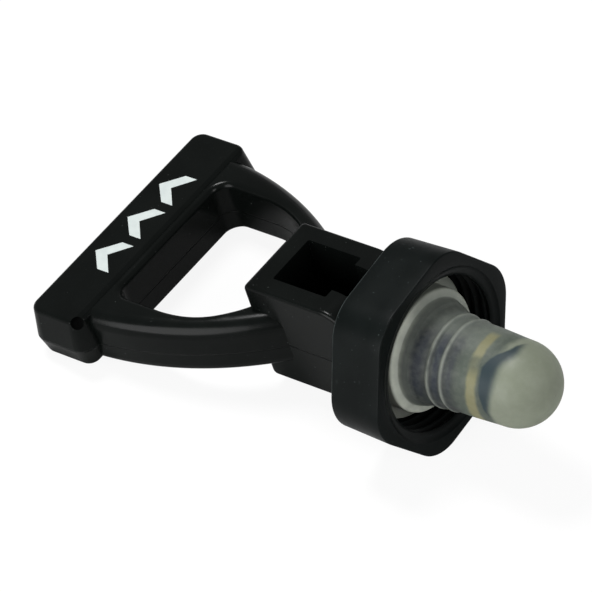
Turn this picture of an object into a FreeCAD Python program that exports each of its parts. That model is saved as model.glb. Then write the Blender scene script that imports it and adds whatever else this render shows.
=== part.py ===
import FreeCAD, Part
import math
import os
from FreeCAD import Vector

# Upper works of a self-closing hot-drinks tap: a D-handle whose cam feet roll on a hexagonal bonnet
# nut and lift a spring-loaded stem, which carries a silicone seat cup.
# Frame: origin at the centre of the nut's mouth, +X along the stem towards the silicone tip, +Z up
# out of the handle's upper face, +Y to its left. Everything is at rest: tap shut, handle straight.
# Sizes are in millimetres and degrees. Names ending in _x are places along the stem from the mouth.

# Silicone seat cup, from its bore outwards
cup_bore_diameter = 13.8
neck_wall = 1.05
neck_taper = 0.35            # radius lost from the first rib to the dome
neck_root_swell = 0.85       # radius gained where the neck meets the drum
neck_root_length = 1.2
drum_shoulder_width = 2.25
drum_edge_radius = 0.7
flange_width = 2.05          # how far the flange stands out from the drum
flange_thickness = 2.4
drum_face_x = -2.5
neck_root_x = -0.5
bulb_centre_x = 16.0
neck_rib_positions = (2.9, 5.6)
neck_rib_height = 0.22
neck_rib_width = 0.9

# Bonnet nut, from the cup's flange outwards
flange_clearance = 0.8       # the collar's thread passes outside the flange
thread_height = 1.1
thread_pitch = 2.0
thread_root_share = 0.12     # flat at the bottom of each groove, as a share of the pitch
nut_wall = 1.85              # from the bottom of the thread to a flat, at the nut's back
nut_draft = 0.4              # how much further out the flats stand at the mouth
nut_length = 10.7
nut_end_wall = 2.2
nut_corner_radius = 7.8
nut_edge_radius = 0.5
nut_clocking = 6.0           # how far the nut happens to be turned on the stem
mouth_relief = 0.6           # the mouth's radius beyond the thread's
mouth_chamfer = 0.6
mouth_land = 0.5             # plain bore between the mouth's chamfer and the first thread

# Stem, cross pin, washers and return spring
stem_diameter = 4.5
stem_neck_diameter = 6.0
stem_shoulder_x = 8.6
stem_button_diameter = 10.4
stem_button_x = 12.9
stem_button_thickness = 2.2
stem_head_overhang = 2.4     # stem beyond the cross pin's centre
stem_chamfer = 0.5
pin_diameter = 2.0
seat_washer_thickness = 1.0
slip_washer_thickness = 0.8
spring_wire_diameter = 1.0
spring_active_turns = 5.0
spring_end_turns = 1.0       # closed turns at each end
spring_closed_pitch = 1.02   # pitch of a closed turn, in wire diameters

# Handle: bar and loop, in plan and in height
loop_length = 25.7           # the finger opening, from the bar to the box
opening_straight = 10.0      # length of the opening's parallel sides, with their corners
opening_end_half_width = 5.06
opening_corner_radius = 2.8
bar_web = 1.2                # from the bar's edge line to the opening
bar_width = 11.5
bar_length = 49.0
bar_corner_radius = 2.2
bar_upper_draft = 1.0        # how far the bar's sides lean out from the upper face to the parting
bar_lower_draft = 1.2        # and back in from the parting to the underside
bar_top_edge_radius = 0.9
bar_bottom_edge_radius = 1.6
arm_root_inset = 2.3         # from the bar's end to the arm's outside, within the bar
arm_tail = 2.5               # how far the arms run into the bar
arm_root_width = 7.0
arm_waist_inset = 3.52       # how much narrower the loop is halfway to the box
arm_outer_edge_radius = 3.0
arm_bottom_edge_radius = 2.0
arm_inner_edge_radius = 1.2
handle_upper_height = 5.9    # from the stem's axis up to the upper face
handle_lower_height = 5.1
parting_height = -0.6        # where the two shells meet, from the stem's axis
groove_width = 1.4
groove_depth = 0.4
corner_hole_diameter = 2.3
corner_hole_depth = 2.4
corner_hole_rim = 0.35
corner_hole_drop = 0.45      # below the upper face, where the hole's axis meets the corner

# Handle: clevis box and cam feet
box_length = 23.5
box_width = 17.3
box_back_edge_radius = 1.2
box_side_edge_radius = 0.8
box_arm_overlap = 6.9        # length of the box's side that the arms run into
window_back_wall = 4.3
window_width = 10.3
window_floor_height = 6.6    # below the stem's axis
window_rim = 0.35
foot_length = 7.5            # from the nut's back to the wall that the cross pin bears on
cam_offset = 4.0             # how far the rolling contact stays from the stem's axis
tilt_limit = 30.0            # bar lifted away from the axis: what the upper cam is cut for
back_tilt_limit = 26.0       # bar pressed down: what the lower cam is cut for
upper_shoulder_radius = 6.25
lower_shoulder_radius = 4.45
cam_curve_steps = 10

# Handle: inside of the bar, and the pegs that join the two shells
shell_wall = 1.9
rib_thickness = 1.2
bar_rib_positions = (-9.0, 0.0, 9.0)
peg_diameter = 2.4
peg_boss_diameter = 5.2
peg_height = 2.4
bar_peg_inset = 7.0          # from the bar's end
arm_peg_setback = 3.5        # ahead of the opening's back wall
arm_peg_inset = 3.1          # outside the opening's side

# Named clearances
running_clearance = 0.08
slip_clearance = 0.1
cam_clearance = 0.1
slot_clearance = 1.05
silicone_clearance = 0.12
peg_clearance = 0.05
washer_clearance = 0.3
spring_clearance = 0.7
overcut = 1.0                # how far a cutter runs past the face that it opens

X, Y, Z = Vector(1, 0, 0), Vector(0, 1, 0), Vector(0, 0, 1)

# Sizes that follow, from the cup's bore out to the nut's flats
neck_diameter = cup_bore_diameter + 2 * neck_wall
bulb_diameter = neck_diameter - 2 * neck_taper
neck_root_diameter = neck_diameter + 2 * neck_root_swell
drum_diameter = neck_root_diameter + 2 * drum_shoulder_width
flange_diameter = drum_diameter + 2 * flange_width
thread_minor_diameter = flange_diameter + 2 * flange_clearance
thread_major_diameter = thread_minor_diameter + 2 * thread_height
nut_across_flats = thread_major_diameter + 2 * nut_wall
mouth_diameter = thread_major_diameter + 2 * mouth_relief
washer_diameter = cup_bore_diameter - 2 * washer_clearance
spring_outer_diameter = cup_bore_diameter - 2 * spring_clearance
pin_seat_length = window_width - 2 * window_rim
pin_length = pin_seat_length - 2 * slip_clearance
slot_width = stem_diameter + 2 * slot_clearance

# Places along the stem that follow
nut_back_x = -nut_length
nut_floor_x = nut_back_x + nut_end_wall
flange_face_x = nut_floor_x + flange_thickness
spring_start_x = nut_floor_x + slip_washer_thickness
seat_washer_x = stem_shoulder_x - seat_washer_thickness
box_front_x = nut_back_x - cam_clearance
pivot_x = box_front_x - foot_length
box_back_x = box_front_x - box_length
opening_back_x = box_back_x - loop_length
window_back_x = box_back_x + window_back_wall
arm_end_x = box_back_x + box_arm_overlap
bar_front_x = opening_back_x - bar_web
bar_back_x = bar_front_x - bar_width
bar_centre_x = (bar_back_x + bar_front_x) / 2
arm_start_x = bar_front_x - arm_tail
arm_mid_x = (arm_start_x + arm_end_x) / 2

# Places across the handle that follow
arm_root_half_width = bar_length / 2 - arm_root_inset
arm_mid_half_width = arm_root_half_width - arm_waist_inset
opening_half_width = arm_root_half_width - arm_root_width
bar_peg_y = bar_length / 2 - bar_peg_inset
arm_peg_x = opening_back_x + arm_peg_setback
arm_peg_y = opening_half_width + arm_peg_inset


def rolling_point(angle):
    """Where the cam touches the nut once the handle has tilted by this angle: distances from the cross pin
    along the stem and across it, in the handle's own straight position.

    The cam is an involute about the cross pin, so the nut is always cam_offset from the pin's level and
    the stem rises by cam_offset for each radian of tilt.
    """
    support = foot_length + cam_offset * angle
    along = support * math.cos(angle) - cam_offset * math.sin(angle)
    across = support * math.sin(angle) + cam_offset * math.cos(angle)
    return along, across


def box_height(limit_degrees, shoulder_radius):
    """From the stem's axis to the box's face, over the end of the cam and its rounded shoulder."""
    limit = math.radians(limit_degrees)
    return rolling_point(limit)[1] + shoulder_radius * (1 - math.sin(limit))


box_upper_height = box_height(tilt_limit, upper_shoulder_radius)
box_lower_height = box_height(back_tilt_limit, lower_shoulder_radius)


def disc(radius, start_x, end_x):
    """A solid cylinder on the tap's axis."""
    return Part.makeCylinder(radius, end_x - start_x, Vector(start_x, 0, 0), X)


def ring(outer_radius, inner_radius, start_x, end_x):
    return disc(outer_radius, start_x, end_x).cut(disc(inner_radius, start_x - overcut, end_x + overcut))


def block(low, high):
    return Part.makeBox(high[0] - low[0], high[1] - low[1], high[2] - low[2], Vector(*low))


def lathe(points):
    """A solid of revolution about the tap's axis from (x, radius) points."""
    outline = [Vector(x, 0, r) for x, r in points]
    wire = Part.makePolygon(outline + outline[:1])
    return Part.Face(wire).revolve(Vector(0, 0, 0), X, 360)


def rounded_outline(corners, radius):
    """A closed outline through these corners, each rounded to the radius."""
    arcs = []
    for i, corner in enumerate(corners):
        before = (corners[i - 1] - corner).normalize()
        after = (corners[(i + 1) % len(corners)] - corner).normalize()
        half_angle = before.getAngle(after) / 2
        reach = radius / math.tan(half_angle)
        inward = (before + after).normalize()
        middle = corner + inward * (radius / math.sin(half_angle) - radius)
        arcs.append((corner + before * reach, middle, corner + after * reach))
    edges = [Part.Arc(*arc).toShape() for arc in arcs]
    for i, arc in enumerate(arcs):
        edges.append(Part.makeLine(arcs[i - 1][2], arc[0]))
    return Part.Wire(Part.__sortEdges__(edges))


def nut_outline(x, outset):
    """The nut's rounded hexagon at one place, its flats standing this much further out than at the back."""
    corner = (nut_across_flats / 2 + outset) / math.cos(math.radians(30))
    corners = [Vector(x, corner * math.cos(math.radians(60 * i)), corner * math.sin(math.radians(60 * i)))
               for i in range(6)]
    return rounded_outline(corners, nut_corner_radius + outset)


def edges_where(shape, test):
    """The edges whose every sampled point passes the test."""
    chosen = []
    for edge in shape.Edges:
        first, last = edge.ParameterRange
        samples = [edge.valueAt(first + (last - first) * k / 4) for k in range(5)]
        if all(test(p) for p in samples):
            chosen.append(edge)
    return chosen


def fillet_where(shape, radius, test):
    return shape.makeFillet(radius, edges_where(shape, test))


# ---- Bonnet nut ----

def bonnet_nut():
    body = Part.makeLoft([nut_outline(nut_back_x, 0), nut_outline(0, nut_draft)], True, True)
    body = body.makeChamfer(nut_edge_radius, edges_where(body, lambda p: abs(p.x - nut_back_x) < 1e-6))
    body = fillet_where(body, nut_edge_radius / 2, lambda p: abs(p.x) < 1e-6)
    body.rotate(Vector(0, 0, 0), X, nut_clocking)
    stem_hole = disc(stem_diameter / 2 + running_clearance, nut_back_x - overcut, overcut)
    return body.cut(thread_bore()).cut(stem_hole)


def thread_bore():
    """The threaded cavity: the minor bore with a V groove at each pitch, and the chamfered mouth."""
    minor = thread_minor_diameter / 2
    major = thread_major_diameter / 2
    half_flat = thread_pitch * thread_root_share / 2
    last_crest = -mouth_chamfer - mouth_land
    turns = int((last_crest - nut_floor_x - thread_pitch / 2) / thread_pitch)
    points = [(nut_floor_x, 0), (nut_floor_x, minor)]
    for i in range(turns):
        crest = last_crest - (turns - i) * thread_pitch
        root = crest + thread_pitch / 2
        points.append((crest, minor))
        points.append((root - half_flat, major))
        points.append((root + half_flat, major))
    points.append((last_crest, minor))
    points.append((-mouth_chamfer, minor))
    points.append((0, mouth_diameter / 2))
    points.append((overcut, mouth_diameter / 2))
    points.append((overcut, 0))
    return lathe(points)


# ---- Silicone seat cup ----

def neck_radius(x):
    """The neck and bulb taper evenly from the neck's root fillet to the tip's dome."""
    share = (x - neck_rib_positions[0]) / (bulb_centre_x - neck_rib_positions[0])
    return neck_diameter / 2 + (bulb_diameter - neck_diameter) / 2 * share


def seat_cup_outside():
    points = [(nut_floor_x + silicone_clearance, 0)]
    points.append((nut_floor_x + silicone_clearance, flange_diameter / 2))
    points.append((flange_face_x, flange_diameter / 2))
    points.append((flange_face_x, drum_diameter / 2))
    points.append((drum_face_x - drum_edge_radius, drum_diameter / 2))
    points.append((drum_face_x, drum_diameter / 2 - drum_edge_radius))
    points.append((neck_root_x, neck_root_diameter / 2))
    points.append((neck_root_x + neck_root_length, neck_radius(neck_root_x + neck_root_length)))
    for rib in neck_rib_positions:
        points.append((rib - neck_rib_width / 2, neck_radius(rib)))
        points.append((rib, neck_radius(rib) + neck_rib_height))
        points.append((rib + neck_rib_width / 2, neck_radius(rib)))
    points.append((bulb_centre_x, bulb_diameter / 2))
    points.append((bulb_centre_x, 0))
    dome = Part.makeSphere(bulb_diameter / 2, Vector(bulb_centre_x, 0, 0), X, 0, 90, 360)
    return lathe(points).fuse(dome)


def silicone_seat_cup():
    gap = silicone_clearance
    cavity = disc(cup_bore_diameter / 2, nut_floor_x - overcut, stem_shoulder_x + gap)
    neck_bore = disc(stem_neck_diameter / 2 + gap, stem_shoulder_x, stem_button_x)
    button_pocket = disc(stem_button_diameter / 2 + gap, stem_button_x - gap,
                         stem_button_x + stem_button_thickness + gap)
    return seat_cup_outside().cut(cavity).cut(neck_bore).cut(button_pocket).removeSplitter()


# ---- Stem, pin, washers, spring ----

def stem():
    head_x = pivot_x - stem_head_overhang
    shank = disc(stem_diameter / 2, head_x, stem_shoulder_x)
    shank = shank.makeChamfer(stem_chamfer, edges_where(shank, lambda p: abs(p.x - head_x) < 1e-6))
    neck = disc(stem_neck_diameter / 2, stem_shoulder_x, stem_button_x)
    button = disc(stem_button_diameter / 2, stem_button_x, stem_button_x + stem_button_thickness)
    button = button.makeFillet(stem_chamfer, edges_where(button, lambda p: math.hypot(p.y, p.z) > overcut))
    cross_hole = Part.makeCylinder(pin_diameter / 2, 2 * stem_diameter,
                                   Vector(pivot_x, -stem_diameter, 0), Y)
    return shank.fuse(neck).fuse(button).cut(cross_hole).removeSplitter()


def cross_pin():
    pin = Part.makeCylinder(pin_diameter / 2, pin_length, Vector(pivot_x, -pin_length / 2, 0), Y)
    ends = edges_where(pin, lambda p: abs(abs(p.y) - pin_length / 2) < 1e-6)
    return pin.makeChamfer(pin_diameter / 8, ends)


def slip_washer():
    return ring(washer_diameter / 2, stem_diameter / 2 + running_clearance,
                nut_floor_x + slip_clearance / 2, spring_start_x)


def spring_seat_washer():
    return ring(washer_diameter / 2, stem_diameter / 2 + running_clearance,
                seat_washer_x, stem_shoulder_x)


def return_spring():
    """A compression spring with a closed turn at each end, swept along one smooth path."""
    wire_radius = spring_wire_diameter / 2
    coil_radius = spring_outer_diameter / 2 - wire_radius
    start = spring_start_x + wire_radius + slip_clearance / 2
    end = seat_washer_x - wire_radius - slip_clearance / 2
    closed = spring_wire_diameter * spring_closed_pitch
    open_pitch = (end - start - 2 * closed * spring_end_turns) / spring_active_turns
    turns = spring_active_turns + 2 * spring_end_turns

    def rise(turned):
        in_open = min(max(turned - spring_end_turns, 0), spring_active_turns)
        return in_open * open_pitch + (turned - in_open) * closed

    points_per_turn = 12
    steps = round(turns * points_per_turn)
    path = []
    for k in range(steps + 1):
        turned = turns * k / steps
        angle = 2 * math.pi * turned
        path.append(Vector(start + rise(turned),
                           coil_radius * math.cos(angle), coil_radius * math.sin(angle)))
    centreline = Part.BSplineCurve()
    centreline.interpolate(Points=path)
    direction = centreline.tangent(centreline.FirstParameter)[0]
    section = Part.Wire(Part.makeCircle(wire_radius, path[0], direction))
    return Part.Wire(centreline.toShape()).makePipeShell([section], True, True)


# ---- Handle ----

def bar_outline(z, outset):
    """The bar in plan at one height, its sides standing this much further out than on the upper face."""
    half_x = bar_width / 2 + outset
    half_y = bar_length / 2 + outset
    corners = [Vector(bar_centre_x + a * half_x, b * half_y, z) for a, b in ((-1, -1), (1, -1), (1, 1), (-1, 1))]
    return rounded_outline(corners, bar_corner_radius + outset)


def bar_half(face_z, lean, edge_radius):
    """The bar from the parting to one of its faces, towards which its sides lean in."""
    outlines = [bar_outline(parting_height, bar_upper_draft), bar_outline(face_z, bar_upper_draft - lean)]
    body = Part.makeLoft(outlines, True, True)
    return fillet_where(body, edge_radius, lambda p: abs(p.z - face_z) < 1e-6)


def outer_arc(side):
    """The outside of one arm in plan, from inside the bar to the box's side."""
    return Part.Arc(Vector(arm_start_x, side * arm_root_half_width, 0),
                    Vector(arm_mid_x, side * arm_mid_half_width, 0),
                    Vector(arm_end_x, side * box_width / 2, 0))


def loop_outside():
    """Both arms and all between them, extruded through the thickness."""
    edges = [outer_arc(1).toShape(), outer_arc(-1).toShape()]
    for x, half in ((arm_start_x, arm_root_half_width), (arm_end_x, box_width / 2)):
        edges.append(Part.makeLine(Vector(x, half, 0), Vector(x, -half, 0)))
    face = Part.Face(Part.Wire(Part.__sortEdges__(edges)))
    face.translate(Vector(0, 0, -handle_lower_height))
    return face.extrude(Z * (handle_lower_height + handle_upper_height))


def opening_outline():
    """The finger opening in plan: square at the bar, narrowing on two arcs to the box's width."""
    back, half = opening_back_x, opening_half_width
    arc_start_x = back + opening_straight
    arc_end_x = box_back_x + box_back_edge_radius
    reach = arc_end_x - arc_start_x
    drop = half - opening_end_half_width
    arc_radius = (reach ** 2 + drop ** 2) / (2 * drop)
    half_turn = math.asin(reach / arc_radius) / 2
    middle_x = arc_start_x + arc_radius * math.sin(half_turn)
    middle_y = half - arc_radius * (1 - math.cos(half_turn))
    corner = opening_corner_radius
    bend = corner * (1 - math.sqrt(0.5))

    def side(sign):
        arc = Part.Arc(Vector(arc_end_x, sign * opening_end_half_width, 0),
                       Vector(middle_x, sign * middle_y, 0), Vector(arc_start_x, sign * half, 0))
        straight = Part.makeLine(Vector(arc_start_x, sign * half, 0), Vector(back + corner, sign * half, 0))
        corner_arc = Part.Arc(Vector(back + corner, sign * half, 0),
                              Vector(back + bend, sign * (half - bend), 0),
                              Vector(back, sign * (half - corner), 0))
        return [arc.toShape(), straight, corner_arc.toShape()]

    edges = side(1) + side(-1)
    edges.append(Part.makeLine(Vector(back, half - corner, 0), Vector(back, corner - half, 0)))
    edges.append(Part.makeLine(Vector(arc_end_x, opening_end_half_width, 0),
                               Vector(arc_end_x, -opening_end_half_width, 0)))
    return Part.Wire(Part.__sortEdges__(edges))


def on_arm_rim(p, z, outside):
    """Whether a point lies on the arms' rim at this height, outside or round the opening."""
    if abs(p.z - z) > 1e-6:
        return False
    circle = outer_arc(1).toShape().Curve
    from_centre = math.hypot(p.x - circle.Center.x, abs(p.y) - circle.Center.y)
    on_arc = abs(from_centre - circle.Radius) < 1e-4
    if outside:
        return on_arc
    return not on_arc and p.x > opening_back_x - 1e-6 and abs(p.y) < opening_half_width + 1e-6 \
        and p.x < box_back_x + box_back_edge_radius + 1e-6


def loop():
    """Both arms with the opening between them, every rim rounded."""
    body = loop_outside()
    through = handle_lower_height + handle_upper_height + 2 * overcut
    opening = Part.Face(opening_outline()).extrude(Z * through)
    opening.translate(Vector(0, 0, -handle_lower_height - overcut))
    body = body.cut(opening)
    rims = [(arm_outer_edge_radius, handle_upper_height, True),
            (arm_bottom_edge_radius, -handle_lower_height, True),
            (arm_inner_edge_radius, handle_upper_height, False),
            (arm_inner_edge_radius, -handle_lower_height, False)]
    for radius, z, outside in rims:
        body = fillet_where(body, radius, lambda p: on_arm_rim(p, z, outside))
    return body


def cam_edges(side, limit_degrees, shoulder_radius):
    """One foot's outline above (side 1) or below (side -1) the stem: the flat, the cam and the shoulder.

    Gives the edges and the shoulder's far end.
    """
    limit = math.radians(limit_degrees)

    def place(along, across):
        return Vector(pivot_x + along, 0, side * across)

    cam_points = [place(*rolling_point(limit * k / cam_curve_steps)) for k in range(cam_curve_steps + 1)]
    cam = Part.BSplineCurve()
    cam.interpolate(Points=cam_points, InitialTangent=Z * side,
                    FinalTangent=Vector(-math.sin(limit), 0, side * math.cos(limit)))
    end_along, end_across = rolling_point(limit)

    def shoulder_point(angle):
        return place(end_along + shoulder_radius * (math.cos(angle) - math.cos(limit)),
                     end_across + shoulder_radius * (math.sin(angle) - math.sin(limit)))

    top = shoulder_point(math.pi / 2)
    shoulder = Part.Arc(cam_points[-1], shoulder_point((limit + math.pi / 2) / 2), top)
    flat = Part.makeLine(place(foot_length, 0), cam_points[0])
    return [flat, cam.toShape(), shoulder.toShape()], top


def box():
    """The clevis box: its side view extruded across, with the cams in front and every rim rounded."""
    upper, upper_end = cam_edges(1, tilt_limit, upper_shoulder_radius)
    lower, lower_end = cam_edges(-1, back_tilt_limit, lower_shoulder_radius)
    radius = box_back_edge_radius
    bend = radius * (1 - math.sqrt(0.5))
    top, bottom, back = box_upper_height, -box_lower_height, box_back_x
    edges = upper + lower
    edges.append(Part.makeLine(upper_end, Vector(back + radius, 0, top)))
    edges.append(Part.Arc(Vector(back + radius, 0, top), Vector(back + bend, 0, top - bend),
                          Vector(back, 0, top - radius)).toShape())
    edges.append(Part.makeLine(Vector(back, 0, top - radius), Vector(back, 0, bottom + radius)))
    edges.append(Part.Arc(Vector(back, 0, bottom + radius), Vector(back + bend, 0, bottom + bend),
                          Vector(back + radius, 0, bottom)).toShape())
    edges.append(Part.makeLine(Vector(back + radius, 0, bottom), lower_end))
    face = Part.Face(Part.Wire(Part.__sortEdges__(edges)))
    face.translate(Vector(0, -box_width / 2, 0))
    body = face.extrude(Y * box_width)
    return fillet_where(body, box_side_edge_radius, lambda p: abs(abs(p.y) - box_width / 2) < 1e-6)


def box_cavity():
    """The pocket under the window, the slot that the stem swings in, and the cross pin's half-round seat."""
    half = window_width / 2
    above = box_upper_height + overcut
    pocket = block((window_back_x, -half, -window_floor_height), (pivot_x, half, above))
    upright = [e for e in pocket.Edges if abs(e.tangentAt(e.FirstParameter).z) > 0.99]
    pocket = pocket.makeFillet(window_rim, upright)
    slot = block((pivot_x - overcut, -slot_width / 2, -window_floor_height),
                 (nut_back_x + overcut, slot_width / 2, above))
    seat = Part.makeCylinder(pin_diameter / 2 + running_clearance, pin_seat_length,
                             Vector(pivot_x, -pin_seat_length / 2, 0), Y)
    return pocket.fuse(slot).fuse(seat)


def bar_cavity():
    """The hollow inside the bar, less its ribs and the bosses round the pegs."""
    low = (bar_back_x + shell_wall, -bar_length / 2 + shell_wall, -handle_lower_height + shell_wall)
    high = (bar_front_x - shell_wall, bar_length / 2 - shell_wall, handle_upper_height - shell_wall)
    hollow = block(low, high)
    upright = [e for e in hollow.Edges if abs(e.tangentAt(e.FirstParameter).z) > 0.99]
    hollow = hollow.makeFillet(bar_corner_radius - shell_wall / 2, upright)
    for y in bar_rib_positions:
        hollow = hollow.cut(block((low[0] - overcut, y - rib_thickness / 2, low[2] - overcut),
                                  (high[0] + overcut, y + rib_thickness / 2, high[2] + overcut)))
    for x, y in peg_positions():
        boss = Part.makeCylinder(peg_boss_diameter / 2, high[2] - low[2], Vector(x, y, low[2]), Z)
        hollow = hollow.cut(boss)
    return hollow


def peg_positions():
    return [(bar_centre_x, bar_peg_y), (bar_centre_x, -bar_peg_y),
            (arm_peg_x, arm_peg_y), (arm_peg_x, -arm_peg_y)]


def pegs(radius, height):
    cylinders = [Part.makeCylinder(radius, height, Vector(x, y, parting_height), Z)
                 for x, y in peg_positions()]
    return cylinders[0].fuse(cylinders[1:])


def groove():
    """The shallow V along the bar's front edge, where the bar meets the arms."""
    back_x = bar_front_x - groove_width
    bottom_x = bar_front_x - groove_width / 2
    top = handle_upper_height
    points = [Vector(back_x, 0, top), Vector(bottom_x, 0, top - groove_depth),
              Vector(bar_front_x, 0, top), Vector(bar_front_x, 0, top + overcut),
              Vector(back_x, 0, top + overcut), Vector(back_x, 0, top)]
    face = Part.Face(Part.makePolygon(points))
    face.translate(Vector(0, -bar_length / 2 - overcut, 0))
    return face.extrude(Y * (bar_length + 2 * overcut))


def corner_hole():
    """A small blind hole with a broken edge, drilled into the bar's front corner at 45 degrees."""
    inset = bar_corner_radius * (1 - math.sqrt(0.5))
    mouth = Vector(bar_front_x - inset, -bar_length / 2 + inset, handle_upper_height - corner_hole_drop)
    inward = Vector(-1, 1, -math.sqrt(2)).normalize()
    radius = corner_hole_diameter / 2
    shank = Part.makeCylinder(radius, corner_hole_depth + radius, mouth - inward * radius, inward)
    rim = Part.makeCone(radius + corner_hole_rim * 2, radius, corner_hole_rim * 2,
                        mouth - inward * corner_hole_rim, inward)
    return shank.fuse(rim)


def handle_half(region, half_of_bar):
    """Loop and box within one side of the parting, with that half of the bar, all cut out."""
    body = loop().fuse(box()).common(region).fuse(half_of_bar).removeSplitter()
    for cutter in (box_cavity(), bar_cavity(), groove(), corner_hole()):
        body = body.cut(cutter)
    return body


def handle_shells():
    """The upper and lower shell, which meet just below the stem's axis, with pegs on the lower one."""
    half_space = -2 * bar_back_x
    above = block((-half_space, -half_space, parting_height), (half_space, half_space, half_space))
    below = block((-half_space, -half_space, -half_space), (half_space, half_space, parting_height))
    upper_bar = bar_half(handle_upper_height, bar_upper_draft, bar_top_edge_radius)
    lower_bar = bar_half(-handle_lower_height, bar_lower_draft, bar_bottom_edge_radius)
    upper = handle_half(above, upper_bar).cut(pegs(peg_diameter / 2 + peg_clearance, peg_height + peg_clearance))
    lower = handle_half(below, lower_bar).fuse(pegs(peg_diameter / 2, peg_height)).removeSplitter()
    return upper, lower


def build():
    upper_shell, lower_shell = handle_shells()
    pieces = {
        "bonnet_nut": bonnet_nut(),
        "silicone_seat_cup": silicone_seat_cup(),
        "slip_washer": slip_washer(),
        "return_spring": return_spring(),
        "spring_seat_washer": spring_seat_washer(),
        "stem": stem(),
        "cross_pin": cross_pin(),
        "handle_upper_shell": upper_shell,
        "handle_lower_shell": lower_shell,
    }
    os.makedirs("parts", exist_ok=True)
    for name, shape in pieces.items():
        if len(shape.Solids) != 1 or not shape.isValid():
            raise ValueError(f"{name}: {len(shape.Solids)} solids, valid {shape.isValid()}")
        shape.Solids[0].exportStep(f"parts/{name}.step")
        print(f"{name}: {shape.Volume:.1f} mm3")


build()
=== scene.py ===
import math

import bpy
from mathutils import Matrix, Vector

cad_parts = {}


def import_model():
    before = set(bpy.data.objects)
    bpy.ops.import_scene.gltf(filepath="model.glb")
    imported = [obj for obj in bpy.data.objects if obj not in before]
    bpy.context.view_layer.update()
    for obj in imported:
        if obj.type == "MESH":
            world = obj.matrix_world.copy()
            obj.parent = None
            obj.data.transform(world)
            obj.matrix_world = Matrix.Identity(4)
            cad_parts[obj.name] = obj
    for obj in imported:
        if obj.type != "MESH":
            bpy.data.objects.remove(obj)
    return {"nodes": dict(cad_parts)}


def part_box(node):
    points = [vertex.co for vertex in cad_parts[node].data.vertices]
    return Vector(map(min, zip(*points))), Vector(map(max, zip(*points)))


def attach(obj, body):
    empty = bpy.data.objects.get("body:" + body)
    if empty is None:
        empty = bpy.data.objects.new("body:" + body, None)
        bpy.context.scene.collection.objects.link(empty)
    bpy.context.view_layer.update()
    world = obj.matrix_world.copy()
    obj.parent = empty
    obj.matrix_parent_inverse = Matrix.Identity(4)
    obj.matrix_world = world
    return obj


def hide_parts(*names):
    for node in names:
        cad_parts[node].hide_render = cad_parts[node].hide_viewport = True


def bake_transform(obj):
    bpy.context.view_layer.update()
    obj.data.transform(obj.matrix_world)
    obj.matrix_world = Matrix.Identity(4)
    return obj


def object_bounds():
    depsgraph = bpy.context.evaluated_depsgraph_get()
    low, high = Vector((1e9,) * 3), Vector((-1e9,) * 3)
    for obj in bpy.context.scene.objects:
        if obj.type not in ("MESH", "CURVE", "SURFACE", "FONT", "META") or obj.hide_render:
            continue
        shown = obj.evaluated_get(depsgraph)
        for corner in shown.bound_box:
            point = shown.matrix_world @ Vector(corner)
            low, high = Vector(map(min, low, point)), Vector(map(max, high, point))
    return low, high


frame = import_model()
cad_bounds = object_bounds()

bpy.context.scene.view_settings.view_transform = "Standard"

MM = 0.001
X = Vector((1, 0, 0))
Z = Vector((0, 0, 1))
WHITE = (1, 1, 1, 1)

# ---- Camera: a long lens that looks down on the part, rolled a little ----

view_azimuth = math.radians(50.71)
view_elevation = math.radians(40.93)
view_roll = math.radians(-19.19)
view_distance = 0.80397
view_lens = 289.5
part_right_of_axis = 0.02485      # the nut's mouth stands this far right of the camera's axis
part_below_axis = 0.00993
nearest_seen = 0.05
farthest_seen = 20


def place_camera():
    """Make the camera, and give back the directions to it and to the picture's right and top."""
    towards = Vector((math.sin(view_azimuth) * math.cos(view_elevation),
                      -math.cos(view_azimuth) * math.cos(view_elevation), math.sin(view_elevation)))
    level_right = Vector((math.cos(view_azimuth), math.sin(view_azimuth), 0))
    level_up = towards.cross(level_right)
    right = math.cos(view_roll) * level_right + math.sin(view_roll) * level_up
    up = math.cos(view_roll) * level_up - math.sin(view_roll) * level_right
    place = view_distance * towards - part_right_of_axis * right + part_below_axis * up
    data = bpy.data.cameras.new("camera")
    data.lens = view_lens
    data.clip_start = nearest_seen
    data.clip_end = farthest_seen
    camera = bpy.data.objects.new("camera", data)
    bpy.context.scene.collection.objects.link(camera)
    matrix = Matrix((right, up, towards)).transposed().to_4x4()
    matrix.translation = place
    camera.matrix_world = matrix
    bpy.context.scene.camera = camera
    return towards, right, up


to_camera, image_right, image_up = place_camera()


# ---- Small helpers for materials ----

REST_PLACE = "rest_place"         # the mesh attribute that holds where each point is at rest


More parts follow.
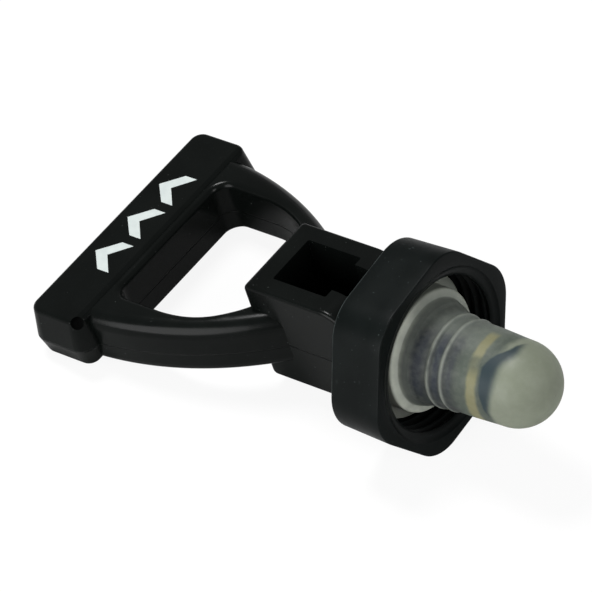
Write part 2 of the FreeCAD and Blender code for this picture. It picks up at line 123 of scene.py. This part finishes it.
class Shader:
    """A material's node tree, with short calls for the nodes that every finish here uses.

    On a piece that bends, the pattern is laid out by where each point is at rest, so that it moves along.
    """

    def __init__(self, name, bends=False):
        self.material = bpy.data.materials.new(name)
        self.material.use_nodes = True
        self.tree = self.material.node_tree
        self.surface = self.tree.nodes["Principled BSDF"]
        if bends:
            at_rest = self.node("ShaderNodeAttribute", attribute_name=REST_PLACE)
            self.coordinates = at_rest.outputs["Vector"]
        else:
            self.coordinates = self.node("ShaderNodeTexCoord").outputs["Object"]

    def node(self, kind, inputs=None, **settings):
        made = self.tree.nodes.new(kind)
        for key, value in settings.items():
            setattr(made, key, value)
        for key, value in (inputs or {}).items():
            self.put(made.inputs[key], value)
        return made

    def put(self, socket, value):
        if isinstance(value, bpy.types.NodeSocket):
            self.tree.links.new(value, socket)
        else:
            socket.default_value = value

    def split(self, vector):
        return self.node("ShaderNodeSeparateXYZ", {"Vector": vector}).outputs

    def noise(self, size, detail, stretch=(1, 1, 1)):
        """Noise whose features are about this many metres across, stretched per axis."""
        scale = self.node("ShaderNodeMapping", {"Vector": self.coordinates, "Scale": stretch})
        made = self.node("ShaderNodeTexNoise", {"Vector": scale.outputs["Vector"], "Scale": 1 / size,
                                                "Detail": detail})
        return made.outputs["Fac"]

    def remap(self, value, low, high, to_low=0.0, to_high=1.0):
        """A smooth step from to_low to to_high while the value goes from low to high."""
        made = self.node("ShaderNodeMapRange", {"Value": value, "From Min": low, "From Max": high,
                                                "To Min": to_low, "To Max": to_high},
                         interpolation_type="SMOOTHSTEP")
        return made.outputs["Result"]

    def math(self, operation, a, b=0.0):
        made = self.node("ShaderNodeMath", operation=operation)
        self.put(made.inputs[0], a)
        self.put(made.inputs[1], b)
        return made.outputs[0]

    def plus(self, a, b):
        return self.math("ADD", a, b)

    def minus(self, a, b):
        return self.math("SUBTRACT", a, b)

    def times(self, first, *others):
        product = first
        for other in others:
            product = self.math("MULTIPLY", product, other)
        return product

    def larger(self, a, b):
        return self.math("MAXIMUM", a, b)

    def away(self, value, middle):
        """How far the value is from the middle, whichever way."""
        return self.math("ABSOLUTE", self.minus(value, middle))

    def mix(self, share, first, second):
        made = self.node("ShaderNodeMix", data_type="RGBA")
        self.put(made.inputs["Factor"], share)
        self.put(made.inputs[6], (*first, 1) if isinstance(first, tuple) else first)
        self.put(made.inputs[7], (*second, 1) if isinstance(second, tuple) else second)
        return made.outputs[2]

    def bump(self, height, distance, strength, below=None):
        made = self.node("ShaderNodeBump", {"Height": height, "Distance": distance, "Strength": strength})
        if below is not None:
            self.put(made.inputs["Normal"], below)
        return made.outputs["Normal"]

    def set(self, **sockets):
        """Give sockets of the surface a value or a link; an underscore stands for a space."""
        for key, value in sockets.items():
            self.put(self.surface.inputs[key.replace("_", " ")], value)


# A cloud noise keeps mostly between these two values, so remaps of it run from one to the other.
CLOUD_LOW = 0.3
CLOUD_HIGH = 0.7


def black_plastic(name, colour, roughness, specular, scuffs, grain, seam_height=None, highlight_edge=None):
    """Moulded black plastic: fine grain, uneven gloss, faint flow marks, dust specks and scuffs.

    A seam height adds the fine groove of a parting line, and a highlight edge adds a painted highlight: a
    pale line along that edge, broken up unevenly.
    """
    shader = Shader(name)
    cloud = shader.noise(9 * MM, 4)
    fine = shader.noise(0.35 * MM, 2)
    speck_field = shader.noise(0.5 * MM, 1)
    speck_start = 0.778 - 0.03 * scuffs
    speck_full = 0.813 - 0.03 * scuffs
    specks = shader.remap(speck_field, speck_start, speck_full)
    streak_field = shader.noise(1.1 * MM, 3, stretch=(1, 1, 0.22))
    streaks = shader.remap(streak_field, 0.68, 0.78, to_high=0.35 * scuffs)
    marks_and_highlight = shader.larger(specks, streaks)
    # Painted highlight: a pale line along the edge, mixed in with the real specks and scuffs.
    if highlight_edge is not None:
        from_edge = shader.away(shader.split(shader.coordinates)["X"], highlight_edge)
        uneven = shader.remap(shader.noise(2.5 * MM, 4), 0.4, 0.6, to_low=0.25)
        edge_highlight = shader.times(shader.remap(from_edge, 0.03 * MM, 0.2 * MM, 1, 0), uneven)
        marks_and_highlight = shader.larger(marks_and_highlight, edge_highlight)
    pale = tuple(min(1.0, channel * 7 + 0.02) for channel in colour)
    deeper = tuple(channel * 0.75 for channel in colour)
    body = shader.mix(shader.remap(cloud, CLOUD_LOW, CLOUD_HIGH), deeper, colour)
    glossiest = roughness * 0.88
    dullest = roughness * 1.12
    gloss = shader.remap(cloud, CLOUD_LOW, CLOUD_HIGH, glossiest, dullest)
    mark_strength = 0.7
    mark_dullness = 0.2
    shader.set(Base_Color=shader.mix(shader.times(marks_and_highlight, mark_strength), body, pale),
               Roughness=shader.plus(gloss, shader.times(marks_and_highlight, mark_dullness)),
               Specular_IOR_Level=specular)
    normal = shader.bump(shader.noise(5 * MM, 2), 0.05 * MM, 0.6)
    if seam_height is not None:
        from_seam = shader.away(shader.split(shader.coordinates)["Z"], seam_height)
        normal = shader.bump(shader.remap(from_seam, 0.02 * MM, 0.2 * MM), 0.16 * MM, 1.0, below=normal)
    shader.set(Normal=shader.bump(fine, 0.012 * MM, grain, below=normal))
    return shader.material


def silicone_material():
    """Cloudy silicone: grey at the drum with a painted highlight on its rim, dark and bluish painted shade
    where the hollow neck shows through, painted light on its upper side and painted highlights on the rib
    edges, milky at the solid tip.

    A dark crescent of painted shade shows where the hollow round the stem's button lies under the skin,
    with a yellowed band beside it.
    Places are in millimetres along the axis, and turns are in degrees round it.
    """
    shader = Shader("silicone", bends=True)
    facing = math.radians(130)    # the turn that faces the camera, where the crescent has its middle
    faced = shader.node("ShaderNodeMapping", {"Vector": shader.coordinates, "Rotation": (-facing, 0, 0)})
    turned = shader.split(faced.outputs["Vector"])
    around = shader.plus(shader.math("ARCTAN2", turned["Z"], turned["Y"]), facing)
    cloud = shader.noise(3.2 * MM, 3)
    mottle = shader.noise(1.1 * MM, 3)
    exact = shader.split(shader.coordinates)["X"]
    wander = shader.times(shader.minus(cloud, 0.5), 1.0 * MM)
    place = shader.plus(exact, wander)

    def patch(at, half, soft, turn, spread):
        """A patch with soft ends, centred at a place along the neck and a turn round it."""
        along = shader.remap(shader.away(place, at * MM), (half - soft) * MM, (half + soft) * MM, 1, 0)
        across = shader.remap(shader.away(around, math.radians(turn)), math.radians(0.5 * spread),
                              math.radians(spread), 1, 0)
        return shader.times(along, across)

    drum_side = (0.19, 0.20, 0.175)
    # Painted highlight: a bright band round the drum's front rim.
    drum_rim_highlight = (0.50, 0.525, 0.455)
    root_grey = (0.10, 0.112, 0.102)
    # Painted shade: the hollow neck is dark where its unlit inside shows through the skin.
    hollow_shade = (0.030, 0.035, 0.034)
    clear = (0.055, 0.068, 0.055)
    milky = (0.154, 0.171, 0.128)
    base = shader.mix(shader.remap(exact, -3.2 * MM, -2.3 * MM), drum_side, drum_rim_highlight)
    for start, end, colour in ((-3.0, -1.2, root_grey), (-1.2, 0.3, hollow_shade), (6.8, 9.6, clear),
                               (14.4, 16.2, milky)):
        base = shader.mix(shader.remap(place, start * MM, end * MM), base, colour)

    # Painted light: the upper, far side of the neck and cylinder is lighter, as light falls there.
    lit_top_grey = (0.120, 0.134, 0.117)
    lit_top_turns = shader.remap(around, math.radians(112), math.radians(84))
    lit_top_length = shader.remap(place, 10.0 * MM, 15.0 * MM, 1, 0)
    base = shader.mix(shader.times(lit_top_turns, lit_top_length, 0.6), base, lit_top_grey)

    # Painted shade: dark, bluish patches where the unlit hollow inside shows through the neck's skin.
    seen_through_shade = (0.016, 0.021, 0.032)
    hollow_shade_patches = shader.larger(patch(at=0.9, half=0.8, soft=0.6, turn=150, spread=52),
                         patch(at=4.25, half=0.6, soft=0.55, turn=146, spread=58))
    faint_hollow_shade = shader.times(patch(at=7.2, half=0.5, soft=0.5, turn=140, spread=50), 0.6)
    base = shader.mix(shader.times(shader.larger(hollow_shade_patches, faint_hollow_shade), 0.85), base, seen_through_shade)

    # Painted highlights: pale, patchy lines on the edges of the two ribs.
    rib_highlight_grey = (0.165, 0.178, 0.156)
    patchy = shader.remap(cloud, 0.3, 0.6, to_low=0.4)
    for rib_edge in (2.8, 5.5):
        rib_highlight = shader.remap(shader.away(exact, rib_edge * MM), 0.1 * MM, 0.55 * MM, 0.8, 0)
        base = shader.mix(shader.times(rib_highlight, patchy), base, rib_highlight_grey)

    yellowed = (0.175, 0.167, 0.085)
    yellow = shader.larger(patch(at=11.7, half=1.0, soft=0.4, turn=178, spread=62),
                           patch(at=11.4, half=0.9, soft=0.4, turn=92, spread=30))
    faint_yellow = shader.times(patch(at=11.5, half=0.8, soft=0.6, turn=135, spread=80), 0.35)
    base = shader.mix(shader.times(shader.larger(yellow, faint_yellow), 0.85), base, yellowed)

    mottle_grey = (0.30, 0.32, 0.26)
    base = shader.mix(shader.remap(mottle, 0.35, 0.75, to_high=0.08), base, mottle_grey)

    # The crescent is painted shade where the hollow round the stem's button shows through the skin; it
    # narrows away from its middle, and one horn of it is swept towards the tip.
    button_shade = (0.012, 0.025, 0.032)
    off_middle = shader.math("DIVIDE", shader.away(around, facing), math.radians(66))
    width = shader.minus(1.6 * MM, shader.times(off_middle, off_middle, 1.5 * MM))
    swept = shader.remap(around, math.radians(125), math.radians(80), to_high=2.3 * MM)
    past = shader.minus(place, shader.plus(swept, 14.6 * MM))
    rise = shader.remap(shader.plus(past, width), -0.1 * MM, 0.5 * MM)
    fall = shader.remap(shader.minus(past, width), -1.1 * MM, 0.9 * MM, 1, 0)
    base = shader.mix(shader.times(rise, fall, 0.95), base, button_shade)

    shader.set(Base_Color=base, Roughness=shader.remap(cloud, CLOUD_LOW, CLOUD_HIGH, 0.46, 0.6),
               Subsurface_Weight=0.3, Subsurface_Radius=(1.0, 1.0, 0.85), Subsurface_Scale=1.2 * MM,
               IOR=1.41, Specular_IOR_Level=0.4)
    waves = shader.bump(mottle, 0.08 * MM, 0.5)
    shader.set(Normal=shader.bump(shader.noise(0.5 * MM, 2), 0.02 * MM, 0.5, below=waves))
    return shader.material


def steel_material(name, line_width, stretch, bends=False):
    """Plain steel with faint lines, as turning or drawing leaves them."""
    shader = Shader(name, bends)
    lines = shader.noise(line_width, 3, stretch=stretch)
    shader.set(Base_Color=shader.mix(lines, (0.44, 0.45, 0.46), (0.54, 0.55, 0.56)),
               Roughness=shader.remap(lines, CLOUD_LOW, CLOUD_HIGH, 0.30, 0.40),
               Metallic=1.0, Normal=shader.bump(lines, 0.004 * MM, 0.3))
    return shader.material


def cloudy_material(name, cloud_size, detail, darker, lighter, smoothest, roughest, grain_size, grain):
    """A plain finish, a little uneven in colour and gloss, with a fine grain."""
    shader = Shader(name)
    cloud = shader.noise(cloud_size, detail)
    shader.set(Base_Color=shader.mix(cloud, darker, lighter),
               Roughness=shader.remap(cloud, CLOUD_LOW, CLOUD_HIGH, smoothest, roughest),
               Normal=shader.bump(shader.noise(grain_size, 2), 0.01 * MM, grain))
    return shader.material


handle_plastic = black_plastic("handle_plastic", colour=(0.0032, 0.0041, 0.0037), roughness=0.21,
                               specular=0.10, scuffs=0.1, grain=0.25, seam_height=-0.6 * MM)
nut_plastic = black_plastic("nut_plastic", colour=(0.0030, 0.0045, 0.0043), roughness=0.38,
                            specular=0.085, scuffs=0.7, grain=0.6, highlight_edge=-10.45 * MM)
silicone = silicone_material()
turned_steel = steel_material("turned_steel", 0.4 * MM, (1, 0.05, 0.05))
drawn_steel = steel_material("drawn_steel", 0.3 * MM, (0.3, 1, 1), bends=True)
washer_plastic = cloudy_material("washer_plastic", cloud_size=1.5 * MM, detail=3,
                                 darker=(0.62, 0.62, 0.58), lighter=(0.75, 0.75, 0.72),
                                 smoothest=0.3, roughest=0.45, grain_size=0.3 * MM, grain=0.5)
white_ink = cloudy_material("white_ink", cloud_size=1.3 * MM, detail=4,
                            darker=(0.418, 0.462, 0.458), lighter=(0.518, 0.564, 0.547),
                            smoothest=0.45, roughest=0.65, grain_size=0.25 * MM, grain=0.6)


# ---- Small helpers for meshes ----

def add_mesh(name, vertices, faces, material, body=None, slot=None, smooth=True):
    mesh = bpy.data.meshes.new(name)
    mesh.from_pydata([tuple(v) for v in vertices], [], faces)
    mesh.materials.append(material)
    mesh.validate()
    rest_place = mesh.attributes.new(REST_PLACE, "FLOAT_VECTOR", "POINT")
    rest_place.data.foreach_set("vector", [c for vertex in mesh.vertices for c in vertex.co])
    if smooth:
        mesh.shade_smooth()
    made = bpy.data.objects.new(name, mesh)
    bpy.context.scene.collection.objects.link(made)
    if body is not None:
        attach(made, body)
    return made


def rings_mesh(name, rings, material, joins_up, **where):
    """A skin over rings of equal point counts; the last ring joins the first, or both ends are capped."""
    count = len(rings[0])
    starts = [i * count for i in range(len(rings))]
    steps = list(zip(starts, starts[1:]))
    if joins_up:
        steps.append((starts[-1], starts[0]))
    faces = []
    for here, there in steps:
        for j in range(count):
            k = (j + 1) % count
            faces.append((here + j, here + k, there + k, there + j))
    if not joins_up:
        faces.append(tuple(reversed(range(count))))
        faces.append(tuple(range(starts[-1], starts[-1] + count)))
    return add_mesh(name, [point for ring in rings for point in ring], faces, material, **where)


def full_turn(count):
    """Angles evenly spaced round a circle."""
    return [2 * math.pi * j / count for j in range(count)]


def quarter_turn(steps):
    """Angles from 0 to 90 degrees, both ends included."""
    return [math.pi / 2 * k / steps for k in range(steps + 1)]


def circle_ring(x, radius, count):
    return [Vector((x, radius * math.cos(a), radius * math.sin(a))) for a in full_turn(count)]


def rounded(points, steps=5):
    """An outline of (x, radius, corner radius) with each corner turned into a curve of short steps."""
    result = []
    for i, (x, radius, corner) in enumerate(points):
        here = Vector((x, radius))
        if corner == 0 or i in (0, len(points) - 1):
            result.append(here)
            continue
        back = (Vector(points[i - 1][:2]) - here).normalized()
        ahead = (Vector(points[i + 1][:2]) - here).normalized()
        half = back.angle(ahead) / 2
        reach = corner / math.tan(half)
        start = here + back * reach
        end = here + ahead * reach
        for k in range(steps + 1):
            t = k / steps
            result.append(start * (1 - t) ** 2 + here * 2 * t * (1 - t) + end * t ** 2)
    return result


def clamped(value):
    return min(1.0, max(0.0, value))


# ---- Bonnet nut ----

nut_low, nut_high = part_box("bonnet_nut")
nut_back = nut_low.x
nut_front = nut_high.x
nut_clocking = math.radians(6)
nut_apothem = 16.84 * MM          # half the width across flats, at the back
nut_corner = 7.8 * MM             # radius of the hexagon's corners, at the back
nut_draft = 0.4 * MM              # both grow by this much from the back to the mouth
back_edge = 0.5 * MM
mouth_lip = 0.28 * MM
mouth_lip_inside = 0.15 * MM
mouth_radius = 15.6 * MM
chamfer_middle_x = -0.45 * MM
chamfer_middle_share = 0.45
thread_start_x = -0.7 * MM
thread_ring_spacing = 0.1 * MM
thread_pitch = 2.0 * MM
thread_minor = 13.9 * MM
thread_major = 15.0 * MM
nut_floor = nut_back + 2.2 * MM
floor_step_radius = 8 * MM
stem_hole = 2.33 * MM


def hexagon_radius(angle, inset, x):
    """Distance from the axis to the rounded hexagon at x, inset evenly, in the direction of this angle."""
    sector = math.radians(60)
    turned = abs((angle - nut_clocking - math.radians(90) + sector / 2) % sector - sector / 2)
    apothem = nut_apothem + nut_draft * (x - nut_back) / (nut_front - nut_back) - inset
    corner = nut_corner + nut_draft * (x - nut_back) / (nut_front - nut_back) - inset
    if apothem * math.tan(turned) <= (apothem - corner) * math.tan(sector / 2):
        return apothem / math.cos(turned)
    centre = (apothem - corner) / math.cos(sector / 2)
    off = sector / 2 - turned
    return centre * math.cos(off) + math.sqrt(corner ** 2 - (centre * math.sin(off)) ** 2)


def thread_radius(angle, x):
    """The internal thread: blunt grooves that wind along the bore and fade at both ends."""
    groove_half = 0.44            # share of the pitch
    blunted = 1.15
    phase = (x / thread_pitch - angle / (2 * math.pi)) % 1.0
    groove = max(0.0, 1 - abs(phase - 0.5) / groove_half)
    groove = min(1.0, groove * blunted)
    fade_in = clamped((-1.0 * MM - x) / (0.9 * MM))
    fade_out = clamped((x - nut_floor - 0.3 * MM) / (0.8 * MM))
    return thread_minor + (thread_major - thread_minor) * groove * fade_in * fade_out


def bonnet_nut():
    angles = full_turn(288)
    rings = []

    def add(x, radius_at):
        """A ring at x whose radius is a number, or a function of the angle."""
        radii = [radius_at(a) if callable(radius_at) else radius_at for a in angles]
        rings.append([Vector((x, r * math.cos(a), r * math.sin(a))) for r, a in zip(radii, angles)])

    add(nut_back, stem_hole)
    for share in (0.35, 0.7, 0.95):
        add(nut_back, lambda a: stem_hole + share * (hexagon_radius(a, back_edge, nut_back) - stem_hole))
    for turn in quarter_turn(6):
        x = nut_back + back_edge * (1 - math.cos(turn))
        add(x, lambda a: hexagon_radius(a, back_edge * (1 - math.sin(turn)), x))
    for share in (0.25, 0.5, 0.75):
        x = nut_back + back_edge + share * (nut_front - nut_back - 2 * back_edge)
        add(x, lambda a: hexagon_radius(a, 0, x))
    for turn in quarter_turn(5):
        x = nut_front - mouth_lip * (1 - math.sin(turn))
        add(x, lambda a: hexagon_radius(a, mouth_lip * (1 - math.cos(turn)), x))
    for turn in quarter_turn(3):
        add(nut_front - mouth_lip_inside * (1 - math.cos(turn)),
            mouth_radius + mouth_lip_inside * (1 - math.sin(turn)))
    add(chamfer_middle_x, thread_minor + chamfer_middle_share * (mouth_radius - thread_minor))
    steps = round((thread_start_x - nut_floor) / thread_ring_spacing)
    for k in range(steps + 1):
        x = thread_start_x + (nut_floor - thread_start_x) * k / steps
        add(x, lambda a: thread_radius(a, x))
    add(nut_floor, floor_step_radius)
    add(nut_floor, stem_hole)
    made = rings_mesh("nut_body", rings, nut_plastic, True, body="bonnet", slot="nut_plastic")
    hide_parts("bonnet_nut")


bonnet_nut()


# ---- Silicone seat cup ----

# Outlines of (x, radius, corner radius) in millimetres.
cup_outside = [
    (-8.38, 6.9, 0), (-8.38, 13.1, 0.3), (-6.1, 13.1, 0.35), (-6.1, 11.05, 0.25), (-2.5, 11.05, 0.6),
    (-2.1, 9.6, 0.3), (-0.5, 9.1, 0.2), (0.2, 8.75, 0.5), (2.3, 8.2, 0.3), (2.9, 8.42, 0.12),
    (3.5, 8.0, 0.25), (5.0, 8.0, 0.2), (5.6, 8.2, 0.12), (6.2, 7.92, 0.25), (10, 7.86, 0),
    (13, 7.72, 0), (15, 7.62, 0)]
cup_inside = [(13.0, 0.02, 0), (12.8, 3.12, 0.1), (8.72, 3.12, 0.2), (8.72, 6.9, 0.5), (-8.38, 6.9, 0)]
dome_start = 16.0
dome_radius = 7.6
dome_steps = 16
rings_near_pole = [15.7, 15.95]   # in the same steps, to close the dome without a visible flat
sag = 0.42 * MM                   # the neck and tip hang this much below the axis
sag_start = -2.0
sag_length = 5.0


def silicone_cup():
    count = 192
    outside = rounded(cup_outside)
    for k in list(range(dome_steps)) + rings_near_pole:
        turn = math.pi / 2 * k / dome_steps
        outside.append(Vector((dome_start + dome_radius * math.sin(turn), dome_radius * math.cos(turn))))
    rings = []
    for p in outside:
        share = clamped((p.x - sag_start) / sag_length)
        drop = Z * sag * share ** 2 * (3 - 2 * share)
        rings.append([v - drop for v in circle_ring(p.x * MM, p.y * MM, count)])
    rings += [circle_ring(p.x * MM, p.y * MM, count) for p in rounded(cup_inside)[:-1]]
    made = rings_mesh("seat_cup", rings, silicone, True, slot="silicone")
    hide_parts("silicone_seat_cup")
    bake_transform(made)


silicone_cup()


# ---- Return spring ----

wire = 0.5 * MM                   # radius of the wire
closed_turns = 1.0                # at each end
open_turns = 5.0
closed_pitch = 2 * wire * 1.02


def spring():
    low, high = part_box("return_spring")
    coil = (high.y - low.y) / 2 - wire
    start = low.x + wire
    end = high.x - wire
    open_pitch = (end - start - 2 * closed_pitch) / open_turns
    turns = open_turns + 2 * closed_turns
    steps_per_turn = 48
    steps = round(turns * steps_per_turn)
    rings = []
    for k in range(steps + 1):
        turned = turns * k / steps
        opened = min(max(turned - closed_turns, 0), open_turns)
        angle = 2 * math.pi * turned
        out = Vector((0, math.cos(angle), math.sin(angle)))
        centre = X * (start + opened * open_pitch + (turned - opened) * closed_pitch) + out * coil
        rings.append([centre + out * wire * math.cos(a) + X * wire * math.sin(a) for a in full_turn(12)])
    made = rings_mesh("coil_spring", rings, drawn_steel, False, slot="spring_steel")
    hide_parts("return_spring")
    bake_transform(made)


spring()


# ---- Printed marks on the bar ----

bar_top = 5.9 * MM
ink_thickness = 0.03 * MM
chevron_middles = (-8.2, 1.0, 10.2)
chevron = [(-70.3, 0), (-66.9, 3.6), (-64.3, 3.6), (-67.5, 0), (-64.3, -3.6), (-66.9, -3.6)]
chevron_halves = ((0, 5, 4, 3), (0, 3, 2, 1))


def printed_marks():
    """Three bold chevrons that point outwards along the handle, away from the nut."""
    vertices = []
    faces = []
    count = len(chevron)
    for middle in chevron_middles:
        low = len(vertices)
        high = low + count
        for height in (bar_top, bar_top + ink_thickness):
            vertices += [Vector((x * MM, (middle + y) * MM, height)) for x, y in chevron]
        for half in chevron_halves:
            faces.append(tuple(high + k for k in half))
            faces.append(tuple(low + k for k in reversed(half)))
        for k in range(count):
            m = (k + 1) % count
            faces.append((low + k, low + m, high + m, high + k))
    add_mesh("printed_marks", vertices, faces, white_ink, body="handle", smooth=False)


printed_marks()


# ---- Finishes of the CAD nodes that stay ----

for name, material in (("handle_upper_shell", handle_plastic), ("handle_lower_shell", handle_plastic),
                       ("stem", turned_steel), ("cross_pin", turned_steel),
                       ("spring_seat_washer", turned_steel), ("slip_washer", washer_plastic)):
    node_materials = frame["nodes"][name].data.materials
    node_materials.clear()
    node_materials.append(material)


# ---- Floor, world and lights ----

def resting_plane():
    """The plane that the nut and the bar both rest on: its unit normal and its height along it."""
    nut, bar = [[v.co for v in frame["nodes"][name].data.vertices]
                for name in ("bonnet_nut", "handle_lower_shell")]

    def lowest(points):
        return min(p.dot(up) for p in points)

    low = 0.0
    high = math.radians(25)
    for halving in range(30):
        tilt = (low + high) / 2
        up = Vector((math.sin(tilt), 0, math.cos(tilt)))
        if lowest(nut) < lowest(bar):
            low = tilt
        else:
            high = tilt
    return up, lowest(nut)


floor_up, floor_height = resting_plane()
floor_gap = 0.01 * MM             # left between the part and the floor
floor_reach = 8                   # half the floor's width, in metres, so that low views show no edge
floor_glow = 0.9                  # share of plain white where the camera sees the floor
mirrored_floor = (0.4, 0.4, 0.4)  # the floor as the part mirrors it
world_light = 0.26
world_seen = 0.93


def floor_material():
    """Pale and even to the camera, lit and shadowed to the part, and darker where the part mirrors it."""
    shader = Shader("floor")
    tree = shader.tree
    path = shader.node("ShaderNodeLightPath").outputs
    pale = shader.mix(shader.noise(0.05, 3), (0.86, 0.86, 0.86), (0.9, 0.9, 0.9))
    shader.set(Base_Color=shader.mix(path["Is Glossy Ray"], pale, mirrored_floor), Roughness=0.9,
               Specular_IOR_Level=0.0)
    glow = shader.node("ShaderNodeEmission", {"Color": WHITE, "Strength": 1.0})
    seen = shader.larger(path["Is Camera Ray"], path["Is Transmission Ray"])
    blend = shader.node("ShaderNodeMixShader", {"Fac": shader.times(seen, floor_glow)})
    tree.links.new(shader.surface.outputs["BSDF"], blend.inputs[1])
    tree.links.new(glow.outputs["Emission"], blend.inputs[2])
    tree.links.new(blend.outputs["Shader"], tree.nodes["Material Output"].inputs["Surface"])
    return shader.material


def floor():
    across = floor_up.cross(X).normalized()
    along = across.cross(floor_up)
    centre = floor_up * (floor_height - floor_gap)
    corners = [centre + along * floor_reach * a + across * floor_reach * b
               for a, b in ((-1, -1), (1, -1), (1, 1), (-1, 1))]
    made = add_mesh("floor", corners, [(0, 1, 2, 3)], floor_material(), smooth=False)


floor()


def world():
    """A dim white surround that the camera sees as nearly white."""
    made = bpy.data.worlds.new("studio")
    bpy.context.scene.world = made
    made.use_nodes = True
    tree = made.node_tree
    background = tree.nodes["Background"]
    path = tree.nodes.new("ShaderNodeLightPath")
    seen = tree.nodes.new("ShaderNodeMath")
    seen.operation = "MAXIMUM"
    tree.links.new(path.outputs["Is Camera Ray"], seen.inputs[0])
    tree.links.new(path.outputs["Is Transmission Ray"], seen.inputs[1])
    strength = tree.nodes.new("ShaderNodeMapRange")
    strength.inputs["To Min"].default_value = world_light
    strength.inputs["To Max"].default_value = world_seen
    tree.links.new(seen.outputs[0], strength.inputs["Value"])
    tree.links.new(strength.outputs["Result"], background.inputs["Strength"])
    background.inputs["Color"].default_value = WHITE


world()

cad_centre = Vector([(low + high) / 2 for low, high in zip(*cad_bounds)])


def area_light(name, direction, distance, size, power):
    """A soft lamp that shines at the middle of the part from this direction."""
    data = bpy.data.lights.new(name, "AREA")
    data.shape = "DISK"
    data.size = size
    data.energy = power
    lamp = bpy.data.objects.new(name, data)
    bpy.context.scene.collection.objects.link(lamp)
    towards = direction.normalized()
    lamp.location = cad_centre + towards * distance
    lamp.rotation_euler = towards.to_track_quat("Z", "Y").to_euler()


area_light("key", floor_up + 0.5 * image_up - 0.35 * image_right, distance=0.9, size=0.3, power=7.5)
area_light("fill", to_camera + 0.8 * image_right, distance=1.1, size=0.5, power=4.5)
area_light("side", to_camera - 1.2 * image_right - 0.6 * image_up, distance=0.9, size=0.75, power=7.5)
